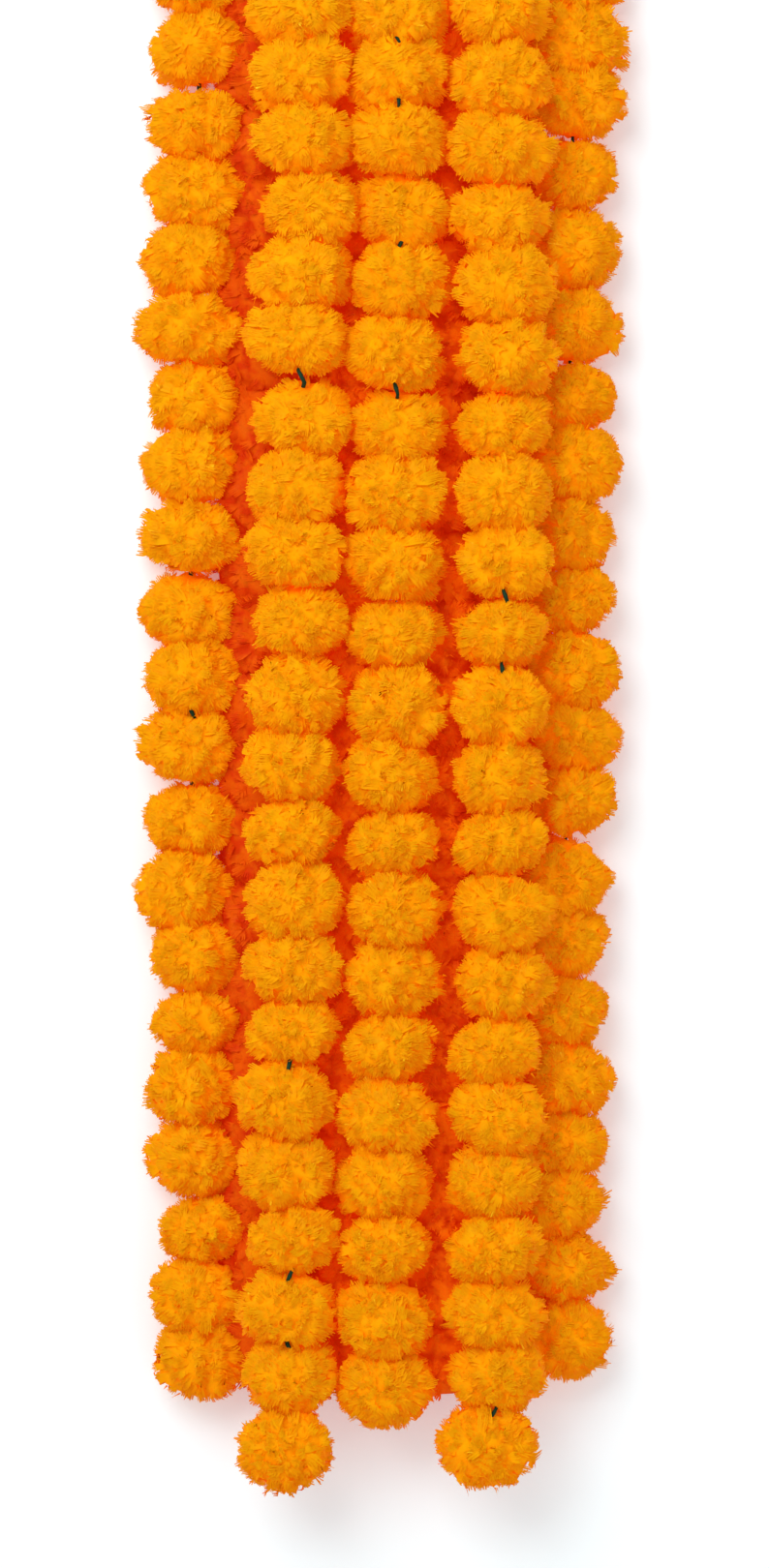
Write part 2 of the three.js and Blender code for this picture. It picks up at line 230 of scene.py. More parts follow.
ROOT_DEPTH = 0.84               # a petal has its root's colour this far out in a head,
ROOT_FADE = 6.0                 # and goes over to its tip's this fast, for each radius further out
OUT_WEIGHT = 0.6                # a place is nearer to the tip's colour for being further out,
TONE_WEIGHT = 0.4               # for its tone,
MOTTLE_WEIGHT = 0.8             # and the less the more mottle there is,
LEAST_TIP = 0.30                # and this near before all of that
HIGHLIGHT_TONE = 1.15               # tone from which a finger takes the painted highlight colour, and how fast it comes
HIGHLIGHT_FADE = 2.0
SHADE_PATCH_FADE = 5.0                # how fast a patch of painted shade begins, past the edge below on that scale
SHADE_PATCH_EDGE = 2.2
MOTTLE_SCALE = 75.0             # noise for each metre
SHADE_PATCH_SCALE = 60.0
CRINKLE_SCALE = 330.0
FIBRE_SCALE = 700.0
CLOUD_SCALE = 3.0
FINE_DETAIL = 3.0               # layers of noise in the crinkles, and in the string's fibres
FIBRE_DETAIL = 4.0
SHEET_ROUGHNESS = 0.62          # of the dullest sheet, and how much less for each unit of tone
TONE_GLOSS = 0.22

# ---- View and light -------------------------------------------------------------------------

FRAME_HEIGHT_PX = 1620
MM_PER_PX = 0.9                 # at the height of the top strings' axes
VIEW_PLANE = 0.10
VIEW_DISTANCE = 4.2
SENSOR = 36.0
FLOOR_HALF = 40.0
KEY_PLACE = (-1.1, 1.4, 3.0)
KEY_SIZE = 2.0
KEY_POWER = 58
ROOM_LIGHT = 0.72
FLOOR_GLOW = 0.20


def vary(string, head, what):
    """A repeatable number from -1 to 1 for a head: the sine of its string, its number and a key."""
    return np.sin(12.9 * string + 4.3 * head + 2.1 * what * head + 7.7 * what)


def lay_string(row, index):
    """Works out where a string's heads lie, their radius and their lean, as arrays over the heads."""
    pressed = "sway" not in row
    radius = PRESSED_RADIUS if pressed else FULL_RADIUS
    number = np.arange(row["count"] if pressed else len(row["sway"]))
    sway = PRESSED_SWAY * vary(index, number, 1) if pressed else MM * np.array(row["sway"])
    slip = 0 if pressed else MM * np.array(row["slip"])
    x = MM * row["x"] + MM * row.get("drift", 0) * number + sway - FOOTPRINT_MIDDLE[0]
    y = MM * row["top"] - MM * row["pitch"] * number + slip - FOOTPRINT_MIDDLE[1]
    height = row.get("height")
    z = radius * LYING_HEIGHT if height is None else height * MM
    return dict(
        name=row["name"], index=index, pressed=pressed, slot=row["slot"], pitch=MM * row["pitch"],
        centre=np.stack([x, y, np.full(len(x), z)], 1),
        radius=radius * (1 + SIZE_SPREAD * vary(index, number, 2)),
        turn=TILT_SPREAD * vary(index, number, 3),
        nod=TILT_SPREAD * vary(index, number, 4),
    )


# ---- Meshes ---------------------------------------------------------------------------------


def new_piece(name, material, points, quads, triangles=None, values=None, normals=None):
    """Puts points and faces into a mesh, with any named value or normal of each point."""
    triangles = np.zeros((0, 3), int) if triangles is None else triangles
    sizes = np.concatenate([np.full(len(quads), 4), np.full(len(triangles), 3)])
    mesh = bpy.data.meshes.new(name)
    mesh.vertices.add(len(points))
    mesh.vertices.foreach_set("co", points.astype(np.float32).ravel())
    mesh.loops.add(int(sizes.sum()))
    corners = np.concatenate([quads.ravel(), triangles.ravel()])
    mesh.loops.foreach_set("vertex_index", corners.astype(np.int32))
    mesh.polygons.add(len(sizes))
    mesh.polygons.foreach_set("loop_start", (np.cumsum(sizes) - sizes).astype(np.int32))
    mesh.polygons.foreach_set("use_smooth", np.ones(len(sizes), bool))
    for key, value in (values or {}).items():
        layer = mesh.attributes.new(key, "FLOAT", "POINT")
        layer.data.foreach_set("value", value.astype(np.float32))
    mesh.update()
    if normals is not None:
        mesh.normals_split_custom_set_from_vertices(normals.astype(np.float32))
    mesh.materials.append(material)
    piece = bpy.data.objects.new(name, mesh)
    bpy.context.scene.collection.objects.link(piece)
    return piece


def hand_over(piece, node):
    """Makes a piece ride on the one body, in place of the solid that it dresses."""
    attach(piece, "root")
    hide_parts(node)


def unit(vectors):
    """Each vector divided by its length."""
    return vectors / np.maximum(np.linalg.norm(vectors, axis=-1, keepdims=True), 1e-12)


def dot(a, b):
    """The sum of the products of two vectors' parts, for whole arrays of them."""
    return (a * b).sum(-1, keepdims=True)


def face_normals(points, faces):
    """A vector square to each face, as long as twice its area: the cross product of its diagonals, or
    of two sides of a triangle."""
    corner = points[faces]
    return np.cross(corner[:, 2] - corner[:, 0], corner[:, -1] - corner[:, 1])


def facing(points, faces, side):
    """Winds each face so that it looks the way that its corners' given directions do."""
    inward = dot(face_normals(points, faces), side[faces].sum(1)) < 0
    return np.where(inward, faces[:, ::-1], faces)


def point_normals(points, *kinds):
    """The direction of the surface at each point: the sum of the normals of the faces around it."""
    total = np.zeros_like(points)
    for faces in kinds:
        normals = face_normals(points, faces)
        for axis in range(3):
            weight = np.repeat(normals[:, axis], faces.shape[1])
            total[:, axis] += np.bincount(faces.ravel(), weight, len(points))
    return unit(total)


def joined(parts):
    """Puts several lists of points and faces one after another."""
    starts = np.cumsum([0] + [len(part[0]) for part in parts[:-1]])
    points, normals, side = (np.concatenate([part[k] for part in parts]) for k in (0, 4, 5))
    quads, triangles = (
        np.concatenate([part[k] + start for part, start in zip(parts, starts)]) for k in (1, 2)
    )
    values = {key: np.concatenate([part[3][key] for part in parts]) for key in parts[0][3]}
    return points, quads, triangles, values, normals, side


# ---- The surface of a head ------------------------------------------------------------------


def head_axes(turn, nod):
    """Three unit directions of each head: its side, its top and its face, leaning by turn and nod."""
    top = np.stack([-np.sin(turn), np.cos(turn) * np.cos(nod), -np.sin(nod)], 1)
    side = np.stack([np.cos(turn), np.sin(turn), np.zeros(len(turn))], 1)
    face = np.cross(side, top)
    face /= np.linalg.norm(face, axis=1, keepdims=True)
    side = np.cross(top, face)
    return side, top, face


def folds(rng, count):
    """The ruffles of each head as waves: rings around, turns down, phase and height of each wave."""
    size = (count, len(FOLD_RINGS))
    rings = np.round(np.array(FOLD_RINGS) * rng.uniform(*RING_SPREAD, size))
    return dict(
        rings=rings,
        turns=rng.uniform(*FOLD_TURNS, size) * rings,
        phase=rng.uniform(0, TAU, size),
        height=np.array(FOLD_HEIGHTS) * rng.uniform(*HEIGHT_SPREAD, size),
    )


def ruffle(waves, around, down):
    """How far the ruffles raise a head's surface, as a share of its radius: a sum of sine waves that
    run around it and down it, and fade towards both necks."""
    total = 0
    shape = (-1,) + (1,) * (around.ndim - 1)
    for k in range(waves["rings"].shape[1]):
        rings, turns, phase, height = (
            waves[key][:, k].reshape(shape) for key in ("rings", "turns", "phase", "height")
        )
        total = total + height * np.sin(rings * around + turns * down + phase)
    return total * np.clip(FOLD_FADE * np.sin(down), 0, 1)


def on_head(heads, around, down, share):
    """A point of each head: share of the way from its middle to its surface, at the angle around its
    axis and the angle down from its top. The surface is an ellipsoid whose girth is raised to the
    head's barrel power, and whose upper half is as tall as the head says."""
    side, top, face = heads["axes"]
    shape = (len(side),) + (1,) * (around.ndim - 1) + (3,)
    side, top, face = side.reshape(shape), top.reshape(shape), face.reshape(shape)
    one = shape[:-1] + (1,)
    wide, tall, height, barrel, radius = (
        heads[key].reshape(one) for key in ("wide", "tall", "height", "barrel", "radius")
    )
    raised = np.where(np.sin(around) > 0, tall[..., 0], 1.0) * np.sin(around)
    out = wide * np.cos(around)[..., None] * side + raised[..., None] * face
    girth = np.sin(down)[..., None] ** barrel
    direction = girth * out + height * np.cos(down)[..., None] * top
    share = share * (1 + ruffle(heads["folds"], around, down))
    return heads["centre"].reshape(shape) + radius * share[..., None] * direction


def surface_frame(heads, around, down, share):
    """A point of each head with three directions there: along its ring, down its side and outwards."""
    step = 0.01
    here = on_head(heads, around, down, share)
    beside = unit(on_head(heads, around + step, down, share) - here)
    ahead = unit(on_head(heads, around, down + step, share) - here)
    outward = np.cross(ahead, beside)
    middle = heads["centre"].reshape((-1,) + (1,) * (here.ndim - 2) + (3,))
    return here, beside, ahead, outward * np.sign(dot(outward, here - middle))


def scattered(rng, heads, count):
    """Angles around and down each head, spread evenly over it but thinner where it looks down."""
    size = (len(heads["radius"]), count)
    around = rng.uniform(0, TAU, size)
    under = np.sin(around) < UNDERSIDE_SINE
    around = np.where(under & (rng.uniform(size=size) > UNDERSIDE), -around, around)
    return around, np.arccos(rng.uniform(*DOWN_COSINES, size))


# ---- Shading directions and light -----------------------------------------------------------


def openness(outward, down):
    """How open to the light a place on a head is, from 0 to 1: less near both necks, and less the
    further the surface looks away from the light."""
    growth, least = NECK_LIGHT
    neck = np.clip(growth * np.sin(down) + least, 0, 1)
    return neck * np.clip(SIDE_LIGHT + outward @ LIGHT_WAY, LEAST_LIGHT, 1)


def lit_side(outward):
    """Which side of a thin petal counts as its front: the upper one, or below a head the outer one."""
    return np.where(outward[..., 2:] > UNDER_HEAD, UP + OUTER_SHARE * outward, outward)


def soft_normals(outward, own):
    """Shading directions of petals: their own, moved towards where the head itself looks, and up."""
    own = own * np.where(dot(own, lit_side(outward)) < 0, -1, 1)
    head = unit(outward + np.where(outward[..., 2:] > UNDER_HEAD, LIFT, 0) * UP)
    return unit(head * (1 - NORMAL_SPREAD) + own * NORMAL_SPREAD)


def on_own_side(normals, own):
    """Turns shading directions towards the surface's own where they lean too far away from it."""
    return unit(normals + own * np.clip(LEAST_DOT - dot(normals, own), 0, 2))


# ---- Petals, bristles and the gathered inside -----------------------------------------------


def petal_spines(rng, heads, count):
    """The middle line of each petal at its root, middle and tip, with its directions across, along
    and off the sheet, where the head looks there, how far out it is and how far down. The line
    comes up from the gathered inside and droops the way that lies lower."""
    around, tip = scattered(rng, heads, count)
    size = around.shape
    _, beside, ahead, _ = surface_frame(heads, around, tip, np.ones(size))
    run = np.radians(rng.uniform(*PETAL_LEAN, size))
    run_down = run * (rng.normal(0, ANY_WAY, size) - ahead[..., 2])
    run_around = run * (rng.normal(0, ANY_WAY, size) - beside[..., 2])
    reach = 1.0 + rng.normal(0, PETAL_REACH, size)
    start = rng.uniform(*PETAL_START, size)[..., None]
    roll = rng.normal(0, PETAL_ROLL, size)[..., None, None]
    cup = rng.uniform(*PETAL_CUP, size)
    cup = cup * np.where(rng.uniform(size=size) < CUPPED_BACK, -1, 1)
    width = rng.uniform(*PETAL_WIDTH, size)

    step = np.array([0, PETAL_MIDDLE, 1.0])
    down = np.clip(tip[..., None] - run_down[..., None] * (1 - step), NEAR_POLE, math.pi - NEAR_POLE)
    ring = np.maximum(np.sin(down), LEAST_RING)
    turn = around[..., None] - run_around[..., None] * (1 - step) / ring
    rise = step ** rng.uniform(*PETAL_RISE, size)[..., None]
    share = start + (reach[..., None] - start) * rise
    spine, _, _, outward = surface_frame(heads, turn, down, share)
    along = unit(np.gradient(spine, axis=2))
    flat = unit(np.cross(outward, along))
    flat = flat * np.where(dot(flat, flat[:, :, 1:2]) < 0, -1, 1)
    stand = np.cross(along, flat)
    stand *= np.sign(dot(stand, outward))
    across = flat * np.cos(roll) + stand * np.sin(roll)
    stand = stand * np.cos(roll) - flat * np.sin(roll)
    return spine, across, along, stand, outward, share, down, cup, width


def petals(rng, heads, count):
    """Crumpled petals with fringed edges. Rows of points at a petal's root and middle are set off
    across its spine, bent back by the square of the offset over twice the cup radius, and pleated up
    and down in turn. From the middle row each finger runs to a blunt end of its own."""
    spine, across, along, stand, outward, share, down, cup, width = petal_spines(rng, heads, count)
    size = width.shape
    row_points, end_points = 2 * (FINGERS + 1), 2 * FINGERS

    middle = np.linspace(-1, 1, 2 * FINGERS + 1)[1::2]
    half = FINGER_END / FINGERS
    blunt = np.stack([middle - half, middle + half], 1).ravel()
    place = np.concatenate([np.tile(np.linspace(-1, 1, FINGERS + 1), 2), blunt])
    row = np.repeat([0, 1, 2], [FINGERS + 1, FINGERS + 1, end_points])
    up_and_down = np.arange(FINGERS + 1) % 2 * 2 - 1
    zigzag = np.concatenate([np.tile(up_and_down, 2), np.zeros(end_points)])
    finger = row == 2

    def per_finger(spread):
        """One random number for every finger, given to both points of its end."""
        number = np.repeat(rng.normal(0, spread, size + (FINGERS,)), 2, axis=-1)
        return np.concatenate([np.zeros(size + (row_points,)), number], -1)

    place = place + finger * rng.normal(0, FAN_SWAY, size + (1,)) + per_finger(FINGER_SWAY)
    off = (width[..., None] * PETAL_SPREAD[row] * place)[..., None]
    bend = off / cup[..., None, None]
    length = np.linalg.norm(spine[:, :, 2] - spine[:, :, 0], axis=-1)[..., None]
    more = length * (per_finger(FINGER_LENGTH) - ROUND_EDGE * finger * place**2)
    lift = per_finger(FINGER_LIFT) + PLEAT * zigzag * (row > 0)
    # A petal's tone: its own at random, painted light and shade that alternate along the pleats, and a
    # random part for each finger.
    tone = rng.uniform(0, 1, size)[..., None] + PLEAT_SHADE_TONE * zigzag + per_finger(FINGER_TONE)
    # A few fingers get a higher tone: more gloss, and a painted highlight colour.
    tone = tone + np.maximum(per_finger(GLOSS_AND_HIGHLIGHT_SPREAD) - GLOSS_AND_HIGHLIGHT_FROM, 0)

    across, along, stand = across[:, :, row], along[:, :, row], stand[:, :, row]
    points = spine[:, :, row] + across * off + along * more[..., None]
    points = points + stand * (lift[..., None] - off * bend / 2)
    own = unit(stand + across * np.clip(bend, -STEEPEST_CUP, STEEPEST_CUP))
    outward = outward[:, :, row]

    low = np.arange(FINGERS)
    high = low + FINGERS + 1
    end = row_points + 2 * low
    quads = np.concatenate([
        np.stack([low, low + 1, high + 1, high], 1), np.stack([high, high + 1, end + 1, end], 1)
    ])
    return fringe_part(
        points, soft_normals(outward, own), outward, share[:, :, row], down[:, :, row], tone,
        quads=quads,
    )


def bristles(rng, heads, count):
    """Straight narrow tips that stand out from the head and droop a little: one triangle each, from a
    root pair of points just inside the head to a tip."""
    around, down = scattered(rng, heads, count)
    size = around.shape
    start = rng.uniform(*BRISTLE_START, size)
    base, beside, ahead, outward = surface_frame(heads, around, down, start)
    spin = rng.uniform(0, math.pi, size)[..., None]
    across = beside * np.cos(spin) + ahead * np.sin(spin)
    half = rng.uniform(*BRISTLE_WIDTH, size)[..., None] / 2
    rise = heads["radius"][:, None] * rng.uniform(*BRISTLE_RISE, size)
    rise = rise * np.where(rng.uniform(size=size) < LONG_BRISTLES, LONGER, 1.0)
    droop = (rise * rng.uniform(*BRISTLE_DROOP, size))[..., None]
    tip = base + outward * rise[..., None] + np.cross(outward, across) * droop
    own = soft_normals(outward, unit(np.cross(across, tip - base)))
    points = np.stack([base - across * half, base + across * half, tip], 2)
    tone = rng.uniform(0, 1, size)[..., None]
    three = np.ones((1, 1, 3, 1))
    share = np.broadcast_to(np.array([BRISTLE_START[0], BRISTLE_START[0], 1.0]), size + (3,))
    return fringe_part(
        points, own[:, :, None] * three, outward[:, :, None] * three, share,
        down[..., None] * three[..., 0], tone, triangles=[[0, 1, 2]],
    )


def fringe_part(points, normals, outward, share, down, tone, quads=(), triangles=()):
    """Lays out many like petals as one list of points, faces, values, normals and front sides."""
    per = points.shape[2]
    first = (np.arange(points.shape[0] * points.shape[1]) * per)[:, None, None]
    outward = outward.reshape(-1, 3)
    quads = (first + np.array(quads, int).reshape(1, -1, 4)).reshape(-1, 4)
    triangles = (first + np.array(triangles, int).reshape(1, -1, 3)).reshape(-1, 3)
    values = {
        "tone": np.broadcast_to(tone, points.shape[:3]).reshape(-1),
        "depth": share.reshape(-1),
        "open": openness(outward, down.reshape(-1)),
    }
    normals = unit(normals.reshape(-1, 3))
    return points.reshape(-1, 3), quads, triangles, values, normals, lit_side(outward)


def cores(heads):
    """The gathered inside of each head: a smaller copy of its surface, closed at both poles."""
    n = len(heads["radius"])
    around = np.linspace(0, TAU, CORE_AROUND, endpoint=False)
    down = np.linspace(0.0, math.pi, CORE_DOWN + 1)[1:-1]
    around, down = np.meshgrid(around, down)
    around, down = (np.broadcast_to(grid, (n,) + grid.shape) for grid in (around, down))
    points, _, _, outward = surface_frame(heads, around, down, np.full(around.shape, CORE_SHARE))
    poles = np.stack([
        on_head(heads, np.zeros((n, 1)), np.full((n, 1), pole), np.full((n, 1), CORE_SHARE))
        for pole in (0.0, math.pi)
    ], 1).reshape(n, 2, 3)
    top = heads["axes"][1]
    rings = CORE_DOWN - 1
    per = rings * CORE_AROUND + 2
    points = np.concatenate([points.reshape(n, -1, 3), poles], 1).reshape(-1, 3)
    outward = np.concatenate([outward.reshape(n, -1, 3), np.stack([top, -top], 1)], 1).reshape(-1, 3)
    down = np.concatenate([down.reshape(n, -1), np.tile([0.0, math.pi], (n, 1))], 1).ravel()
    i = np.arange(CORE_AROUND)
    after = (i + 1) % CORE_AROUND
    row = (np.arange(rings - 1) * CORE_AROUND)[:, None]
    quads = np.stack([row + i, row + CORE_AROUND + i, row + CORE_AROUND + after, row + after], -1)
    last = (rings - 1) * CORE_AROUND
    caps = np.concatenate([
        np.stack([np.full(CORE_AROUND, per - 2), i, after], 1),
        np.stack([np.full(CORE_AROUND, per - 1), last + after, last + i], 1),
    ])
    block = (np.arange(n) * per)[:, None, None]
    quads = (quads.reshape(1, -1, 4) + block).reshape(-1, 4)
    caps = (caps[None] + block).reshape(-1, 3)
    values = {
        "tone": np.full(len(points), CORE_TONE),
        "depth": np.full(len(points), CORE_SHARE),
        "open": openness(outward, down),
    }
    return points, quads, caps, values, soft_normals(outward, outward), outward


# ---- Strings that press on each other -------------------------------------------------------


def axis_at(string, y):
    """The place of a string's axis at a height y: straight between its heads' middles."""
    order = np.argsort(string["centre"][:, 1])
    known = string["centre"][order]
    return np.stack([np.interp(y, known[:, 1], known[:, 0]), np.interp(y, known[:, 1], known[:, 2])], 1)


def girth_at(string, y):
    """How wide a string is at a height y: the ellipse of the head there, and no less than its neck."""
    middles = string["centre"][::-1, 1]
    head = np.clip(np.searchsorted((middles[1:] + middles[:-1]) / 2, y), 0, len(middles) - 1)
    radius = string["radius"][::-1][head]
    off = (y - middles[head]) / (GIRTH_HEIGHT * radius)
    return radius * np.sqrt(np.clip(1 - off**2, NECK_GIRTH, 1))


def press(points, string, strings):
    """Makes room between strings. Like strings share the distance between their axes, and a pressed
    string leaves the room that a full one takes. Fringe past the limit keeps PRESS of what it goes
    past it. Nothing goes below the floor."""
    own = axis_at(string, points[:, 1])
    for other in strings:
        if other is string or (other["pressed"] and not string["pressed"]):
            continue
        away = axis_at(other, points[:, 1]) - own
        distance = np.linalg.norm(away, axis=1)
        if distance.min() > FAR_APART:
            continue
        alike = other["pressed"] == string["pressed"]
        limit = distance / 2 if alike else distance - girth_at(other, points[:, 1])
        limit = ROOM * np.maximum(limit, LEAST_ROOM)
        out = points[:, [0, 2]] - own
        reach = (out * away).sum(1) / distance
        keep = np.where(reach > limit, (limit + (reach - limit) * PRESS) / np.maximum(reach, 1e-9), 1)
        points[:, [0, 2]] = own + out * keep[:, None]
    points[:, 2] = np.maximum(points[:, 2], FLOOR_CLEAR)
    return points


def shown_necks(string):
    """Middles of the necks where a string shows, none for most strings."""
    above = np.array(SHOWN_NECKS.get(string["name"], []), int)
    return (string["centre"][above] + string["centre"][above + 1]) / 2


def part_fringe(points, string):
    """Presses the fringe down under the green string inside an ellipse around each neck that shows."""
    for neck in shown_necks(string):
        inside = (((points[:, :2] - neck[:2]) / GAP) ** 2).sum(1) < 1
        bed = neck[2] + BULGE - GAP_DEPTH * THREAD_RADIUS
        points[:, 2] = np.where(inside, np.minimum(points[:, 2], bed), points[:, 2])
    return points


# ---- Green strings --------------------------------------------------------------------------


def cord(path, radius, across=(0.0, 0.0, 1.0)):
    """A twisted cord along a path: a lobed section that turns as it goes, with closed ends. The path
    never runs along the direction across."""
    ahead = np.gradient(path, axis=0)
    ahead /= np.linalg.norm(ahead, axis=1, keepdims=True)
    side = np.cross(ahead, across)
    side /= np.linalg.norm(side, axis=1, keepdims=True)
    up = np.cross(side, ahead)
    gone = np.concatenate([[0], np.cumsum(np.linalg.norm(np.diff(path, axis=0), axis=1))])
    angle = np.linspace(0, TAU, CORD_SIDES, endpoint=False)[None, :]
    lobes = 1 + PLY_BULGE * np.cos(CORD_PLIES * (angle - TAU * gone[:, None] / CORD_TURN))
    reach = radius * lobes / (1 + PLY_BULGE)
    ring = path[:, None, :] + reach[..., None] * (
        np.cos(angle)[..., None] * side[:, None, :] + np.sin(angle)[..., None] * up[:, None, :]
    )
    ends = np.stack([path[0], path[-1]])[:, None, :] + np.zeros((2, CORD_SIDES, 3))
    rings = np.concatenate([ends[:1], ring, ends[1:]])
    i = np.arange(CORD_SIDES)
    row = (np.arange(len(rings) - 1) * CORD_SIDES)[:, None]
    after = (i + 1) % CORD_SIDES
    quads = np.stack([row + i, row + after, row + CORD_SIDES + after, row + CORD_SIDES + i], -1)
    return rings.reshape(-1, 3), quads.reshape(-1, 4)


def string_path(string):
    """Points along a green string: its cut end, the band, the curve to the top head, every neck. The
    curve is a cubic one with four control points, and a neck that shows has a flat-topped bulge, the
    exponential of minus the fourth power of the distance from it."""
    centre, pitch = string["centre"], string["pitch"]
    column, row = string["slot"]
    x = (column - (SLOT_COLUMNS - 1) / 2) * SLOT_PITCH
    z = TIE_BOTTOM + STRING_SEAT + row * SLOT_PITCH
    slot = np.array([x, TIE_Y - FOOTPRINT_MIDDLE[1], z])
    cut_end = slot + [0, TIE_LENGTH + STRING_END, 0]
    lead = cut_end + (slot - cut_end) * np.linspace(0, 1, END_STEPS + 1)[:-1, None]

    top = centre[0] + [0, pitch / 2, 0]
    t = np.linspace(0, 1, GATHER_STEPS + 1)[:, None]
    ease = np.array([0, GATHER_EASE, 0])
    bow = (1 - t) ** 3 * slot + 3 * (1 - t) ** 2 * t * (slot - ease)
    bow = bow + 3 * (1 - t) * t ** 2 * (top + ease) + t ** 3 * top

    end = centre[-1] - [0, pitch * END_PAST, 0]
    necks = (centre[:-1] + centre[1:]) / 2
    stations = np.concatenate([top[None], necks, end[None]])
    share = np.linspace(0, 1, STEPS_PER_HEAD + 1)[1:, None]
    down = np.concatenate([a + (b - a) * share for a, b in zip(stations[:-1], stations[1:])])
    for number, neck in enumerate(shown_necks(string)):
        past = down[:, 1] - neck[1]
        bulge = np.exp(-(past / BULGE_HALF) ** 4)
        down[:, 2] += BULGE * bulge
        down[:, 0] += SLANT * vary(string["index"], number, 12) * past * bulge
    return np.concatenate([lead, bow, down])


def winding_path(low, high):
    """A cord wound round a band that fills the box from low to high: turns of a rounded box, each
    a cord's width further along Y."""
    turns = int((high[1] - low[1]) / (WINDING_STEP * WINDING_RADIUS))
    angle = np.linspace(0, turns * TAU, turns * STEPS_PER_TURN + 1)
    half = (high - low)[[0, 2]] / 2 - WINDING_RADIUS
    cosine, sine = np.cos(angle), np.sin(angle)
    grow = np.abs(cosine) ** WINDING_CORNER + np.abs(sine) ** WINDING_CORNER
    grow = grow ** (-1 / WINDING_CORNER)
    y = np.linspace(low[1] + WINDING_RADIUS, high[1] - WINDING_RADIUS, len(angle))
    middle = (low + high) / 2
    return np.stack([middle[0] + half[0] * grow * cosine, y, middle[2] + half[1] * grow * sine], 1)


# ---- Materials ------------------------------------------------------------------------------


class Value:
    """A socket in a material. Sums with it add Math nodes."""

    def __init__(self, recipe, socket):
        self.recipe = recipe
        self.socket = socket

    def sum(self, operation, *terms):
        """The value of a Math node that takes these numbers or values."""
        return self.recipe.node("ShaderNodeMath", {"operation": operation}, dict(enumerate(terms)))

    def __add__(self, other):
        return self.sum("ADD", self, other)

    def __radd__(self, other):
        return self.sum("ADD", other, self)

    def __sub__(self, other):
        return self.sum("SUBTRACT", self, other)

    def __rsub__(self, other):
        return self.sum("SUBTRACT", other, self)

    def __mul__(self, other):
        return self.sum("MULTIPLY", self, other)

    def __rmul__(self, other):
        return self.sum("MULTIPLY", other, self)

    def clamped(self):
        """The value held between 0 and 1."""
        return self.sum("MINIMUM", self.sum("MAXIMUM", self, 0.0), 1.0)


class Recipe:
    """One material and its nodes."""

    def __init__(self, name):
        self.material = bpy.data.materials.new(name)
        self.material.use_nodes = True
        self.tree = self.material.node_tree
        self.tree.nodes.clear()

    def node(self, kind, settings=None, inputs=None, out=0):
        """Adds a node, sets its settings, and then fills or links its sockets."""
        node = self.tree.nodes.new(kind)
        for key, value in (settings or {}).items():
            setattr(node, key, value)
        for key, value in (inputs or {}).items():
            if isinstance(value, Value):
                self.tree.links.new(value.socket, node.inputs[key])
            else:
                node.inputs[key].default_value = value
        return Value(self, node.outputs[out]) if len(node.outputs) else None

    def place(self):
        """Where a point is on its piece."""
        return self.node("ShaderNodeTexCoord", out=3)

    def attribute(self, name):
        """A value that the piece's points carry."""
        return self.node("ShaderNodeAttribute", {"attribute_name": name}, out=2)

    def noise(self, where, scale, detail=2.0):
        """Soft random clouds from 0 to 1, that many to a metre."""
        return self.node("ShaderNodeTexNoise", {}, {"Vector": where, "Scale": scale, "Detail": detail})

    def mix(self, share, low, high):
        """A colour from low to high, by a share from 0 to 1."""
        return self.node("ShaderNodeMix", {"data_type": "RGBA"}, {0: share, 6: low, 7: high}, out=2)

    def bump(self, height, strength, distance):
        """Shading directions of a surface that is raised by a height."""
        inputs = {"Strength": strength, "Distance": distance, "Height": height}
        return self.node("ShaderNodeBump", {}, inputs)

    def finished(self, sockets):
        """Ends the material with a plain surface that has these values in its sockets."""
        shader = self.node("ShaderNodeBsdfPrincipled", {}, sockets)
        self.node("ShaderNodeOutputMaterial", {}, {0: shader})
        return self.material


def petal_sheet(name, shut, root, tip, painted_highlight, glow, deep_glow, shade_patchy):
    """Crinkled thin sheet. Its colour runs from the root's to the tip's the further out it is and the
    higher its tone, with a mottle in between. The root's colour is painted lighter, as painted light
    against the shade deep in a head, and the highest tones have a painted highlight colour. Where a
    head is shut in from the light, or on a noise patch of painted shade, it turns to the shut colour,
    which is painted shade. A glow stands for the light that comes through the sheet, the deep one
    where little falls on it."""
    recipe = Recipe(name)
    where = recipe.place()
    tone = recipe.attribute("tone")
    light = recipe.attribute("open")
    outside = ((recipe.attribute("depth") - ROOT_DEPTH) * ROOT_FADE).clamped()
    mottle = recipe.noise(where, MOTTLE_SCALE)
    lively = outside * OUT_WEIGHT + tone * TONE_WEIGHT - mottle * MOTTLE_WEIGHT + LEAST_TIP
    surface = recipe.mix(lively.clamped(), root, tip)
    surface = recipe.mix(((tone - HIGHLIGHT_TONE) * HIGHLIGHT_FADE).clamped(), surface, painted_highlight)
    # Noise patches that turn towards the shut colour: painted shade, as between crumpled petals.
    shade_patch = (recipe.noise(where, SHADE_PATCH_SCALE) * SHADE_PATCH_FADE - SHADE_PATCH_EDGE).clamped()
    crinkle = recipe.noise(where, CRINKLE_SCALE, FINE_DETAIL)
    return recipe.finished({
        "Base Color": recipe.mix(light * (1.0 - shade_patchy * shade_patch), shut, surface),
        "Roughness": SHEET_ROUGHNESS - tone * TONE_GLOSS,
        "Normal": recipe.bump(crinkle, strength=0.3, distance=1.5 * MM),
        "Specular IOR Level": 0.02,
        "Emission Color": recipe.mix(outside * light, deep_glow, glow),
        "Emission Strength": 1.0,
    })


def twisted_string(name):
    """Dark green twisted cord with lighter and darker fibres along it."""
    recipe = Recipe(name)
    fibres = recipe.noise(recipe.place(), FIBRE_SCALE, FIBRE_DETAIL)
    return recipe.finished({
        "Base Color": recipe.mix(fibres, (0.001, 0.012, 0.004, 1), (0.006, 0.07, 0.03, 1)),
        "Roughness": 0.6,
        "Normal": recipe.bump(fibres, strength=0.4, distance=0.4 * MM),
        "Specular IOR Level": 0.2,
    })


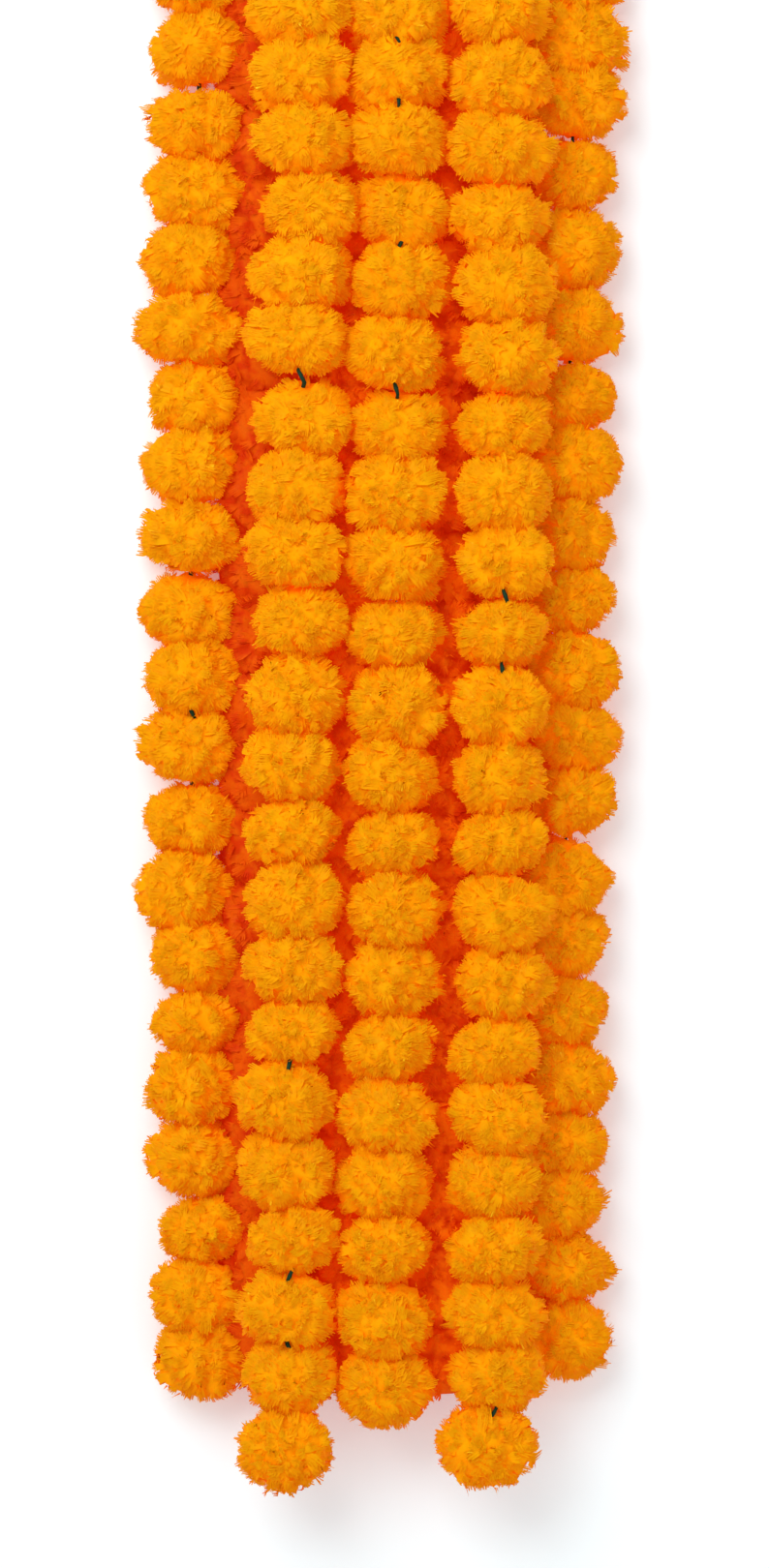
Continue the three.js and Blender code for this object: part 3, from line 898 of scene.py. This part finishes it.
def pale_floor(name):
    """A matt, pale floor with a glow of its own, so that it looks white under soft light."""
    recipe = Recipe(name)
    cloud = recipe.noise(recipe.place(), CLOUD_SCALE)
    colour = recipe.mix(cloud, (0.855, 0.935, 0.955, 1), (0.875, 0.955, 0.975, 1))
    return recipe.finished({
        "Base Color": colour, "Roughness": 0.9,
        "Emission Color": colour, "Emission Strength": FLOOR_GLOW,
    })


# Colours of the two sheets. In each, the root's colour is painted lighter than the tip's, against the
# shade deep in a head; shut is painted shade, the brightest colour is a painted highlight, and the last
# number says how much patches of painted shade show. The full strings' sheet is the lit one.
LIT_SHEET = petal_sheet(
    "lit_petal_sheet", shut=(0.80, 0.18, 0.001, 1), root=(0.83, 0.41, 0.001, 1),
    tip=(0.80, 0.305, 0.001, 1), painted_highlight=(0.95, 0.58, 0.012, 1), glow=(0.03, 0.006, 0.0, 1),
    deep_glow=(0.28, 0.032, 0.0, 1), shade_patchy=0.08,
)
# The pressed strings lie in shade between the others: their copy of the sheet has painted shade, redder
# and darker, with more shaded patches.
SHADED_SHEET = petal_sheet(
    "shaded_petal_sheet", shut=(0.50, 0.015, 0.002, 1), root=(0.85, 0.26, 0.002, 1),
    tip=(0.80, 0.16, 0.002, 1), painted_highlight=(0.95, 0.30, 0.005, 1), glow=(0.20, 0.008, 0.0, 1),
    deep_glow=(0.15, 0.003, 0.0, 1), shade_patchy=0.75,
)
GREEN_STRING = twisted_string("green_twisted_string")


# ---- Build ----------------------------------------------------------------------------------


def shape_heads(string, number):
    """The form of some of a string's heads, given by their numbers, as arrays over them."""
    index, pressed = string["index"], string["pressed"]
    rise = 0 if pressed else RISE * vary(index, number, 11)[:, None]
    lean = 0 if pressed else 1
    turn = string["turn"][number] + lean * TURN * vary(index, number, 8)
    tilt = np.maximum(vary(index, number, 9), LEAST_NOD) ** 3
    nod = string["nod"][number] + lean * FACE_UP * tilt
    if pressed:
        height = np.full(len(number), PRESSED_HALF_HEIGHT)
        barrel = np.full(len(number), PRESSED_BARREL)
    else:
        share = 0.5 + 0.5 * vary(index, number, 6)
        height = HALF_HEIGHT[0] + (HALF_HEIGHT[1] - HALF_HEIGHT[0]) * share
        height = np.where(number == len(string["radius"]) - 1, LAST_HALF_HEIGHT, height)
        barrel = BARREL + BARREL_SPREAD * vary(index, number, 7)
    wide = WIDE_STRINGS.get(string["name"], PRESSED_HALF_WIDTH if pressed else HALF_WIDTH)
    return dict(
        centre=string["centre"][number] + rise * UP, radius=string["radius"][number],
        axes=head_axes(turn, nod), height=height, barrel=barrel,
        tall=np.full(len(number), SQUEEZED_UP if pressed else 1.0),
        wide=wide * (1 + WIDTH_SPREAD * vary(index, number, 10)),
    )


def dress_length(string, strings, length, number):
    """Makes the piece of fringed heads that replaces one length of a string's heads, with these
    numbers, and presses it against the other strings."""
    name, pressed = string["name"], string["pressed"]
    rng = np.random.default_rng([string["index"], length])
    heads = shape_heads(string, number)
    heads["folds"] = folds(rng, len(number))
    sheets, straight = PRESSED_FRINGE if pressed else FULL_FRINGE
    points, quads, triangles, values, normals, side = joined([
        petals(rng, heads, sheets), bristles(rng, heads, straight), cores(heads)
    ])
    points = part_fringe(press(points, string, strings), string)
    quads, triangles = facing(points, quads, side), facing(points, triangles, side)
    normals = on_own_side(normals, point_normals(points, quads, triangles))
    if pressed:
        shade = np.clip(points[:, 2] / SHADE_TOP, 0, 1)
        values["open"] = values["open"] * DARK_STRINGS.get(name, 1.0) * shade
    # Pressed strings take the copy of the sheet with painted shade, full ones the lit copy.
    sheet = SHADED_SHEET if pressed else LIT_SHEET
    piece = new_piece(f"petals_{name}_{length}", sheet, points, quads, triangles, values, normals)
    hand_over(piece, f"heads_{name}_{length}")


strings = [lay_string(row, index) for index, row in enumerate(FULL_STRINGS + PRESSED_STRINGS)]
for string in strings:
    count = len(string["radius"])
    for length, first in enumerate(range(0, count, HEADS_PER_LENGTH), 1):
        number = np.arange(first, min(first + HEADS_PER_LENGTH, count))
        dress_length(string, strings, length, number)
    points, quads = cord(string_path(string), THREAD_RADIUS)
    thread = new_piece(f"twisted_string_{string['name']}", GREEN_STRING, points, quads)
    hand_over(thread, f"green_string_{string['name']}")

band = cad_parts["tie_band"]
corners = np.array([band.matrix_world @ Vector(corner) for corner in band.bound_box])
points, quads = cord(winding_path(corners.min(0), corners.max(0)), WINDING_RADIUS, (0.0, 1.0, 0.0))
winding = new_piece("winding_tie_band", GREEN_STRING, points, quads)
hand_over(winding, "tie_band")

# ---- Floor, light and camera ----------------------------------------------------------------

floor = new_piece(
    "floor", pale_floor("pale_floor"),
    np.array([[-1, -1, 0], [1, -1, 0], [1, 1, 0], [-1, 1, 0]]) * FLOOR_HALF,
    np.array([[0, 1, 2, 3]]),
)


def area_light(name, place, target, size, power):
    """A square soft light at place that faces target."""
    data = bpy.data.lights.new(name, "AREA")
    data.size = size
    data.energy = power
    lamp = bpy.data.objects.new(name, data)
    lamp.location = place
    lamp.rotation_euler = (Vector(target) - Vector(place)).to_track_quat("-Z", "Y").to_euler()
    bpy.context.scene.collection.objects.link(lamp)


area_light("key", KEY_PLACE, (0, 0, 0), KEY_SIZE, KEY_POWER)

scene = bpy.context.scene
world = bpy.data.worlds.new("soft_room")
world.use_nodes = True
room = world.node_tree.nodes["Background"]
room.inputs["Color"].default_value = (1, 1, 1, 1)
room.inputs["Strength"].default_value = ROOM_LIGHT
scene.world = world
scene.view_settings.view_transform = "Standard"

camera_data = bpy.data.cameras.new("camera")
camera_data.sensor_fit = "VERTICAL"
camera_data.sensor_height = SENSOR
camera_data.lens = SENSOR * VIEW_DISTANCE / (FRAME_HEIGHT_PX * MM_PER_PX * MM)
camera = bpy.data.objects.new("camera", camera_data)
camera.location = (-FOOTPRINT_MIDDLE[0], -FOOTPRINT_MIDDLE[1], VIEW_PLANE + VIEW_DISTANCE)
scene.collection.objects.link(camera)
scene.camera = camera
